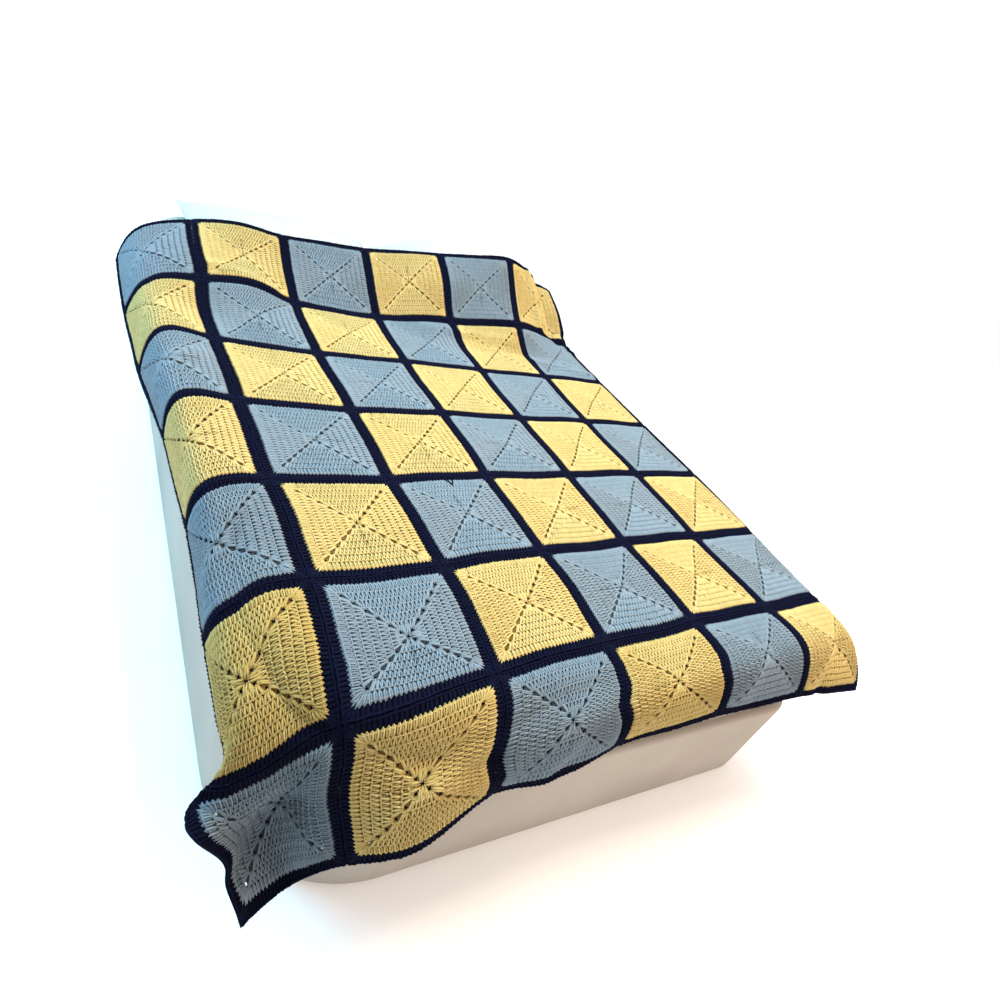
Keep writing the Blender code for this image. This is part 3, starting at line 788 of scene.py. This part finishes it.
def round_stitches(strands, number, start_side):
    """One coloured round: the two arms of each stitch and the chain along their tops."""
    inner = (number - 1) * ROUND
    outer = number * ROUND
    each = 4 * number - 1
    top = (np.arange(each) - (each - 1) / 2) * STITCH
    foot = top.copy()
    start = inner
    if number == 1:
        start = RING
        foot = RING * np.sin(np.radians([-FIRST_FAN, 0.0, FIRST_FAN]))
    else:
        foot[[0, -1]] = np.array([-1, 1]) * (inner - CORNER_FOOT)
        foot[[1, -2]] = np.array([-1, 1]) * (inner - NEXT_FOOT)
    last = number == ROUNDS
    arms = (TOOTH_LEFT, TOOTH_RIGHT) if last else (ARM_LEFT, ARM_RIGHT)
    for side in range(4):
        jitter = strands.random.normal(0, JITTER, (each, 1, 3))
        for arm, beside_corner, tone in ((arms[0], 0, -ARM_TONE), (arms[1], -1, 0.0)):
            lean = np.ones((each, 1))
            if not last:
                lean[beside_corner] = CORNER_LEAN
            paths, radii = stitch_paths(arm, foot, top, start, outer, jitter, lean)
            if side == start_side and number <= START_ROUNDS:
                radii[each // 2] *= START_POST
            strands.add(turned(paths, side), radii, STRAND_SIDES, ARM_FLAT, 0, tone)
        paths, radii = stitch_paths(TOP, foot, top, start, outer, jitter)
        if last:
            paths[..., 1] -= TOOTH_BACK
            corner_teeth(strands, side, outer)
        else:
            paths[..., 0] = np.clip(paths[..., 0], top[0] - CORNER_TOP, top[-1] + CORNER_TOP)
            corner_chain(strands, side, outer, top[-1], 0)
        strands.add(turned(paths, side), radii, STRAND_SIDES, 1.0, 0, TOP_TONE)


def mirrored(path):
    """A path on a square, on the other side of its diagonal."""
    return path[:, [1, 0, 2]]


def corner_teeth(strands, side, outer):
    """Two strands that fan into the corner of the last round."""
    reach = outer - ROUND
    path = np.array([
        (reach - 0.001, reach, -0.0002),
        (reach + 0.0075, reach + 0.0105, 0.0014),
        (outer - 0.0012, outer + 0.0026, 0.0010),
    ])
    paths = np.stack([path, mirrored(path)])
    radii = np.array([0.0016, 0.0030, 0.0006])
    strands.add(turned(paths, side), radii, FAN_SIDES, FAN_FLAT, 0, 0.0)


def corner_chain(strands, side, outer, last_top, slot):
    """The chain that turns a round's corner."""
    half = np.array([
        (last_top + 0.0016, outer, 0.0008),
        (outer + 0.0002 - 0.0016, outer + 0.0008, 0.0016),
    ])
    path = np.concatenate([half, mirrored(half)[::-1]])[None]
    strands.add(turned(path, side), CHAIN_RADIUS, STRAND_SIDES, 1.0, slot, 0.0)


def edging_stitches(strands):
    """The dark edging: posts between the teeth of the last round, their tops and corners."""
    each = EDGING_COUNT
    top = (np.arange(each) - (each - 1) / 2) * STITCH
    foot = np.clip(top, -COLOUR_HALF + EDGING_FOOT, COLOUR_HALF - EDGING_FOOT)
    outer = HALF - EDGING_END
    for side in range(4):
        jitter = strands.random.normal(0, JITTER, (each, 1, 3))
        paths, radii = stitch_paths(EDGING_POST, foot, top, COLOUR_HALF, outer, jitter)
        strands.add(turned(paths, side), radii, STRAND_SIDES, EDGING_FLAT, 1, 0.0)
        paths, radii = stitch_paths(EDGING_TOP, foot, top, COLOUR_HALF, outer, jitter)
        strands.add(turned(paths, side), radii, STRAND_SIDES, 1.0, 1, EDGING_TOP_TONE)
        corner_chain(strands, side, outer, top[-1] - EDGING_TURN, 1)
        path = np.array([[
            (COLOUR_HALF - 0.002, COLOUR_HALF - 0.002, 0.0002),
            (COLOUR_HALF + 0.005, COLOUR_HALF + 0.005, 0.0012),
            (HALF - 0.0022, HALF - 0.0022, 0.0008),
        ]])
        radii = np.array([0.0012, 0.0044, 0.0040])
        strands.add(turned(path, side), radii, FAN_SIDES, EDGING_FLAT, 1, 0.0)


def nudged(u, v):
    """Joins and middles pushed to where hand work and handling have left them."""
    shift_u = WANDER * np.sin(2.9 * v + 1.1 * u) + WANDER_SHORT * np.sin(7.3 * v + 0.7 * u)
    shift_v = WANDER * np.sin(3.3 * u - 0.8 * v + 1.0) + WANDER_SHORT * np.sin(8.1 * u + 0.4 * v)
    for at_u, at_v, push_u, push_v in NUDGES:
        near = np.exp(-((u - at_u) ** 2 + (v - at_v) ** 2) / (2 * NUDGE_REACH**2))
        shift_u += push_u * near
        shift_v += push_v * near
    inside_u = np.clip(np.minimum(u, COLUMNS - u) / HEM_FADE, 0, 1)
    inside_v = np.clip(np.minimum(v, ROWS - v) / HEM_FADE, 0, 1)
    return u + shift_u * inside_u, v + shift_v * inside_v


def banded(x, low, high):
    """Draw in a square's colour on its low and high side, and widen the edging there."""
    end = np.where(x < 0, COLOUR_HALF - low, COLOUR_HALF - high)
    size = np.abs(x)
    inner = size * end / COLOUR_HALF
    outer = HALF - (HALF - size) * (HALF - end) / (HALF - COLOUR_HALF)
    return np.sign(x) * np.where(size < COLOUR_HALF, inner, outer)


def put_on_cloth(points, row, column):
    """World places of points of one square."""
    x = banded(points[:, 0], JOINS_ACROSS[column], JOINS_ACROSS[column + 1])
    y = banded(points[:, 1], JOINS_UP[row], JOINS_UP[row + 1])
    u, v = nudged(column + 0.5 + x / PITCH, row + 0.5 + y / PITCH)
    return on_cloth(u, v, points[:, 2])


def link_object(name, data):
    """A new object in the scene."""
    item = bpy.data.objects.new(name, data)
    bpy.context.scene.collection.objects.link(item)
    return item


def take_mesh(work, mesh, materials=()):
    """Write a bmesh into a mesh, with these materials."""
    work.to_mesh(mesh)
    work.free()
    for material in materials:
        mesh.materials.append(material)


def mesh_object(name, points, faces, materials, slots=None):
    """A smooth shaded object from arrays of points and faces."""
    mesh = bpy.data.meshes.new(name)
    mesh.from_pydata(points.tolist(), [], faces.tolist())
    for material in materials:
        mesh.materials.append(material)
    if slots is not None:
        mesh.polygons.foreach_set("material_index", slots.astype(np.int32))
    mesh.shade_smooth()
    return link_object(name, mesh)


def set_shade(item, values):
    """Store how light each point's yarn is drawn: random tone, with painted shade and highlight.
    """
    layer = item.data.attributes.new("shade", "FLOAT", "POINT")
    layer.data.foreach_set("value", np.ascontiguousarray(values, dtype=np.float32))


def make_stitches(row, column, materials):
    """All the yarn of one square, as one mesh."""
    random = np.random.RandomState(RANDOM_SEED + row * COLUMNS + column)
    strands = Strands(random)
    start_side = random.randint(4)
    for number in range(1, ROUNDS + 1):
        round_stitches(strands, number, start_side)
    edging_stitches(strands)
    for on_row, on_column, path in LOOSE_ENDS:
        if (on_row, on_column) == (row, column):
            strands.add(np.array([path]), LOOSE_RADIUS, STRAND_SIDES, 1.0, 1, 0.0)
    points, quads, uvs, shades, slots = (np.concatenate(part) for part in zip(*strands.parts))
    name = f"stitches_row{row + 1}_col{column + 1}"
    item = mesh_object(name, put_on_cloth(points, row, column), quads, materials, slots)
    # Painted shade: the yarn of the hanging squares is drawn darker.
    set_shade(item, shades + SQUARE_PAINTED_SHADE.get((row, column), 0.0))
    layer = item.data.uv_layers.new(name="strand")
    layer.data.foreach_set("uv", uvs.reshape(-1))
    return item


def ground_lines():
    """Lines of the ground's mesh across a square: the eyelets' sides and the colour's end."""
    lines = [RING_OPEN]
    for number in range(1, ROUNDS):
        middle = number * ROUND - EYELET_BACK
        lines += [middle - EYELET / 2, middle + EYELET / 2]
    lines += [COLOUR_HALF, HALF - SEAM_GAP / 2]
    return np.array([-line for line in reversed(lines)] + lines)


def make_ground(row, column, materials):
    """The felted cloth between a square's strands: a thin sheet with the eyelets open.

    In a square that hangs clear of the bed only the sixth round's are open. The others are
    closed and drawn in the dark yarn as painted shade, so that they stay dark in front of the
    bright floor.
    """
    lines = ground_lines()
    count = len(lines)
    x, y = np.meshgrid(lines, lines)
    flat = np.stack([x.ravel(), y.ravel(), np.full(x.size, LIFT - GROUND_DOWN)], axis=-1)
    middles = (lines[:-1] + lines[1:]) / 2
    hangs = row == 0 or column == 0 or (row, column) == (ROWS - 1, COLUMNS - 1)
    faces = []
    slots = []
    for j in range(count - 1):
        for i in range(count - 1):
            number = eyelet_round(middles[i], middles[j])
            # Painted shade: in a hanging square, the eyelets of the first rounds are closed in
            # the dark yarn.
            painted_shade_hole = hangs and number in range(ROUNDS - 1)
            if number is not None and not painted_shade_hole:
                continue
            corner = j * count + i
            faces.append((corner, corner + 1, corner + count + 1, corner + count))
            edging = max(abs(middles[i]), abs(middles[j])) > COLOUR_HALF
            slots.append(int(edging or painted_shade_hole))
    points = put_on_cloth(flat, row, column)
    name = f"ground_row{row + 1}_col{column + 1}"
    item = mesh_object(name, points, np.array(faces), materials, np.array(slots))
    # Painted shade: the ground takes the dark colour of the strands' hollows.
    set_shade(item, np.full(len(points), GROUND_SHADE))
    item.data.uv_layers.new(name="strand")
    return item


def eyelet_round(x, y):
    """The round in whose open corner a cell of the ground lies, 0 for the ring, or None."""
    if max(abs(x), abs(y)) < RING_OPEN:
        return 0
    for number in range(1, ROUNDS):
        middle = number * ROUND - EYELET_BACK
        if max(abs(abs(x) - middle), abs(abs(y) - middle)) < EYELET / 2:
            return number
    return None


# ---------------------------------------------------------------- the bed

NEARLY = 0.0001          # two places nearer than this are the same


def round_edges(work, edges, radius, segments):
    """Bevel some edges to a round of this radius."""
    bmesh.ops.bevel(
        work, geom=edges, offset=radius, offset_type="OFFSET", segments=segments, profile=0.5,
        affect="EDGES", clamp_overlap=True,
    )


def upright_edges(work, worn):
    """The edges that run along Z: the one at the worn corner, or the other three."""
    return [
        edge for edge in work.edges
        if (edge.verts[0].co - edge.verts[1].co).xy.length < NEARLY
        and (edge.verts[0].co.x < 0 and edge.verts[0].co.y < 0) == worn
    ]


def rim_edges(work, height):
    """The edges round the top and bottom faces of a block of this height."""
    return [
        edge for edge in work.edges
        if abs(edge.verts[0].co.z - edge.verts[1].co.z) < NEARLY
        and abs(abs(edge.verts[0].co.z) - height / 2) < NEARLY
    ]


def bed_outline():
    """Points round the mattress's sides, seen from above."""
    points = []
    corners = [
        # sign_x, sign_y, first angle, radius
        (1, 1, 0, MATTRESS_CORNER),
        (-1, 1, 90, MATTRESS_CORNER),
        (-1, -1, 180, WORN_CORNER),
        (1, -1, 270, MATTRESS_CORNER),
    ]
    for sign_x, sign_y, first, radius in corners:
        x = sign_x * (MATTRESS_WIDTH / 2 - radius)
        y = sign_y * (MATTRESS_LENGTH / 2 - radius)
        for step in range(PIPING_STEPS + 1):
            angle = math.radians(first + 90 * step / PIPING_STEPS)
            points.append((x + radius * math.cos(angle), y + radius * math.sin(angle)))
    return points


def make_bed_block(name, inset, low, high, rim_radius, rim_steps, materials):
    """A block of the bed, its corners and rims rounded. A second material, dark as painted shade
    under the blanket's holes, covers its top.
    """
    height = high - low
    size = (MATTRESS_WIDTH - 2 * inset, MATTRESS_LENGTH - 2 * inset, height)
    work = bmesh.new()
    bmesh.ops.create_cube(work, size=1.0)
    bmesh.ops.scale(work, vec=size, verts=work.verts[:])
    round_edges(work, upright_edges(work, False), MATTRESS_CORNER - inset, CORNER_STEPS)
    round_edges(work, upright_edges(work, True), WORN_CORNER - inset, WORN_STEPS)
    round_edges(work, rim_edges(work, height), rim_radius, rim_steps)
    bmesh.ops.translate(work, vec=(MIDDLE_X, MIDDLE_Y, (low + high) / 2), verts=work.verts[:])
    corner = Vector((MATTRESS_LEFT, MATTRESS_FOOT, 0.0))
    near, far = (corner + Vector((*place, 0.0)) for place in PANEL_RIGHT)
    edges = [
        # a point of the edge, and which way is out of the cover
        (corner + Vector((0.0, PANEL_LENGTH, 0.0)), Vector((0.0, 1.0, 0.0))),
        (near, Vector((far.y - near.y, near.x - far.x, 0.0)).normalized()),
    ]
    for point, outward in edges:
        geometry = work.verts[:] + work.edges[:] + work.faces[:]
        bmesh.ops.bisect_plane(work, geom=geometry, plane_co=point, plane_no=outward)
    mesh = bpy.data.meshes.new(name)
    take_mesh(work, mesh, materials)
    if len(materials) > 1:
        # Painted shade: the top under the blanket is dark, so that the holes show dark.
        for face in mesh.polygons:
            inside = all((face.center - point).dot(outward) < 0 for point, outward in edges)
            face.material_index = int(inside and face.center.z > high - rim_radius)
    mesh.shade_smooth()
    mesh.set_sharp_from_angle(angle=math.radians(50))
    return link_object(name, mesh)


def make_piping(name, height, material):
    """A corded seam round the mattress at one height."""
    path = np.array([(x + MIDDLE_X, y + MIDDLE_Y, height) for x, y in bed_outline()])
    ahead = np.roll(path, -1, axis=0) - np.roll(path, 1, axis=0)
    side = np.cross(ahead, (0.0, 0.0, 1.0))
    side /= np.linalg.norm(side, axis=-1, keepdims=True)
    angle = 2 * math.pi * np.arange(PIPING_SIDES) / PIPING_SIDES
    ring = np.cos(angle)[None, :, None] * side[:, None]
    ring = ring + np.sin(angle)[None, :, None] * np.array([0.0, 0.0, 1.0])
    points = (path[:, None] + ring * PIPING_RADIUS).reshape(-1, 3)
    here = np.arange(len(path))[:, None] * PIPING_SIDES
    after = np.roll(here, -1, axis=0)
    k = np.arange(PIPING_SIDES)
    beside = np.roll(k, -1)
    faces = np.stack([here + k, here + beside, after + beside, after + k], -1).reshape(-1, 4)
    return mesh_object(name, points, faces, [material])


def pillow_crown(t):
    """Fullness of a pillow from its middle, at 0, to its seam, at 1."""
    return np.maximum(1 - np.abs(t) ** PILLOW_FULLNESS, 0.0) ** PILLOW_ROUNDNESS


def make_pillow(row, materials):
    """A filled pillow: two crowned panels that meet in a seam, drawn in between its corners.

    The first material is that of its case, and the second, dark as painted shade under the
    blanket's holes, of the band under the blanket.
    """
    name, from_left, from_foot, width, depth, height, seam_height = row
    cells = PILLOW_CELLS
    line = np.sin(np.linspace(-1, 1, cells + 1) * math.pi / 2)
    x, y = np.meshgrid(line, line)
    full = pillow_crown(x) * pillow_crown(y)
    rim = 1 - full
    pucker = np.sin(26 * x + 3 * y) * np.abs(y) ** 6 + np.sin(24 * y - 2 * x) * np.abs(x) ** 6
    tug = np.sin(9 * (x - y) + 2 * np.sin(3 * y)) * np.abs(x * y) ** 1.2
    wrinkle = PUCKER * pucker * rim**0.5 * full**0.25 + TUG * tug * full**0.5
    across = x * width / 2 * (1 - PILLOW_PINCH * (1 - y * y))
    along = y * depth / 2 * (1 - PILLOW_PINCH * (1 - x * x))
    crown = height - seam_height - PILLOW_SEAM / 2 - PILLOW_MARGIN
    above = seam_height + crown * full + wrinkle
    below = seam_height * (1 - np.minimum(PILLOW_BELLY * full, 1.0)) - wrinkle * (rim > 0.45)
    place = (MATTRESS_LEFT + from_left, MATTRESS_FOOT + from_foot, MATTRESS_TOP + SEAM_GAP)
    upper = np.stack([across, along, above], -1).reshape(-1, 3) + place
    lower = np.stack([across, along, np.maximum(below, 0.0)], -1).reshape(-1, 3) + place
    count = cells + 1
    a = (np.arange(cells)[:, None] * count + np.arange(cells)).reshape(-1, 1)
    b = a + count * count
    faces = np.hstack([a + (0, 1, count + 1, count), b + (0, count, count + 1, 1)]).reshape(-1, 4)
    item = mesh_object(f"{name}_cushion", np.concatenate([upper, lower]), faces, materials)
    work = bmesh.new()
    work.from_mesh(item.data)
    bmesh.ops.remove_doubles(work, verts=work.verts[:], dist=0.0004)
    bmesh.ops.recalc_face_normals(work, faces=work.faces[:])
    take_mesh(work, item.data)
    hem = CLOTH_POINTS[-1]
    # Painted shade: the case is dark where the blanket covers it.
    for face in item.data.polygons:
        hem_y = np.interp(face.center.x, hem[:, 0], hem[:, 1])
        face.material_index = int(face.center.y < hem_y - BAND_MARGIN)
    item.data.shade_smooth()
    return item


# ---------------------------------------------------------------- camera, floor and light

FLOOR_SIZE = 40.0        # from its middle to its edges
FLOOR_BELOW = 0.0005
FLOOR_LOW = 0.93         # its darkest and its lightest grey
FLOOR_HIGH = 0.95
SURROUND = 1.06          # how bright the white surround is
LIGHTS = [
    # name, place, aim, size, watts, colour
    ("window", (-2.2, 1.5, 3.1), (0.0, 0.4, 0.6), 1.8, 220.0, (0.23, 0.70, 1.0)),
    ("ceiling", (0.2, -0.35, 2.4), (0.2, -0.4, 0.6), 1.2, 78.0, (1.0, 0.86, 0.67)),
    ("lamp", (0.9, -2.6, 1.5), (0.2, -0.9, 0.5), 1.2, 17.0, (1.0, 0.52, 0.18)),
]


def make_camera():
    """The camera at the photograph's place and angle."""
    right = Vector(CAMERA_RIGHT).normalized()
    down = Vector(CAMERA_DOWN)
    down = (down - right * down.dot(right)).normalized()
    forward = right.cross(down)
    turn = Matrix((right, -down, -forward)).transposed()
    data = bpy.data.cameras.new("camera")
    data.lens = CAMERA_LENS
    data.sensor_width = 36.0
    camera = link_object("camera", data)
    place = Vector((MATTRESS_LEFT, MATTRESS_FOOT, MATTRESS_TOP)) + Vector(CAMERA_FROM_BED)
    camera.matrix_world = Matrix.Translation(place) @ turn.to_4x4()
    bpy.context.scene.camera = camera


def make_floor():
    """A plain pale floor."""
    mesh = bpy.data.meshes.new("floor")
    work = bmesh.new()
    bmesh.ops.create_grid(work, x_segments=1, y_segments=1, size=FLOOR_SIZE)
    material, tree, shader = start_material("floor_pale", ROUGHNESS, 0.0, 0.0)
    noise = noise_at(tree, tree.nodes.new("ShaderNodeNewGeometry"), 1.5, 2.0)
    stops = [(0.3, (FLOOR_LOW,) * 3), (0.7, (FLOOR_HIGH,) * 3)]
    colour = ramp_colours(tree, noise, stops)
    tree.links.new(colour, shader.inputs["Base Color"])
    take_mesh(work, mesh, [material])
    floor = link_object("floor", mesh)
    floor.location = (0.0, 0.0, -FLOOR_BELOW)


def make_light(name, place, aim, size, power, colour):
    """A soft square lamp that looks at a point."""
    data = bpy.data.lights.new(name, "AREA")
    data.size = size
    data.energy = power
    data.color = colour
    lamp = link_object(name, data)
    lamp.location = place
    lamp.rotation_mode = "QUATERNION"
    lamp.rotation_quaternion = (Vector(aim) - Vector(place)).to_track_quat("-Z", "Y")


def make_lights():
    """Cool daylight from the head's left, warm light above and at the foot, a white surround."""
    world = bpy.data.worlds.new("surround")
    world.use_nodes = True
    background = world.node_tree.nodes["Background"]
    background.inputs["Color"].default_value = (1.0, 1.0, 1.0, 1.0)
    background.inputs["Strength"].default_value = SURROUND
    bpy.context.scene.world = world
    for row in LIGHTS:
        make_light(*row)
    bpy.context.scene.view_settings.view_transform = "Standard"


# ---------------------------------------------------------------- the whole object

def main():
    """Make every piece and tie it to the frame."""
    make_camera()
    make_floor()
    make_lights()
    yarns = {name: make_yarn(name, *row) for name, row in YARNS.items()}
    fabrics = {name: make_fabric(name, *row) for name, row in FABRICS.items()}
    # Painted shade: the dark slate under the blanket's holes, also the piping's trim.
    slate_and_shade = fabrics["slate_and_painted_shade"]

    low, high = (corner.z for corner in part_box("divan_base"))
    cover = [fabrics["cover_cream"]]
    base = make_bed_block("base_cover", BASE_INSET, low, high, BASE_RIM, RIM_STEPS, cover)
    finish_piece(base, "cover_cream", "divan_base")
    low, high = BED_LOW.z, BED_HIGH.z
    cover = [fabrics["ticking_white"], slate_and_shade]
    mattress = make_bed_block(
        "mattress_cover", 0.0, low, high, MATTRESS_SHOULDER, SHOULDER_STEPS, cover
    )
    finish_piece(mattress, "ticking_white", "mattress")
    for name, height in (
        ("piping_upper", high - MATTRESS_SHOULDER),
        ("piping_lower", low + MATTRESS_SHOULDER),
    ):
        finish_piece(make_piping(name, height, slate_and_shade), "ticking_white")
    for row in PILLOWS:
        pillow = make_pillow(row, [fabrics["pillow_white"], slate_and_shade])
        finish_piece(pillow, "pillow_white", row[0])

    for row in range(ROWS):
        for column in range(COLUMNS):
            colour = "yarn_blue" if (row + column) % 2 == 0 else "yarn_yellow"
            node = f"square_row{row + 1}_col{column + 1}"
            materials = [yarns[colour], yarns["yarn_navy"]]
            ground = make_ground(row, column, materials)
            stitches = make_stitches(row, column, materials)
            finish_piece(ground, colour, node)
            finish_piece(stitches, colour)


def finish_piece(item, slot, *nodes):
    """Tie a piece to the object's one body, and hide the nodes that it stands for. Its slot is
    not used.
    """
    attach(item, "root")
    if nodes:
        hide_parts(*nodes)


main()
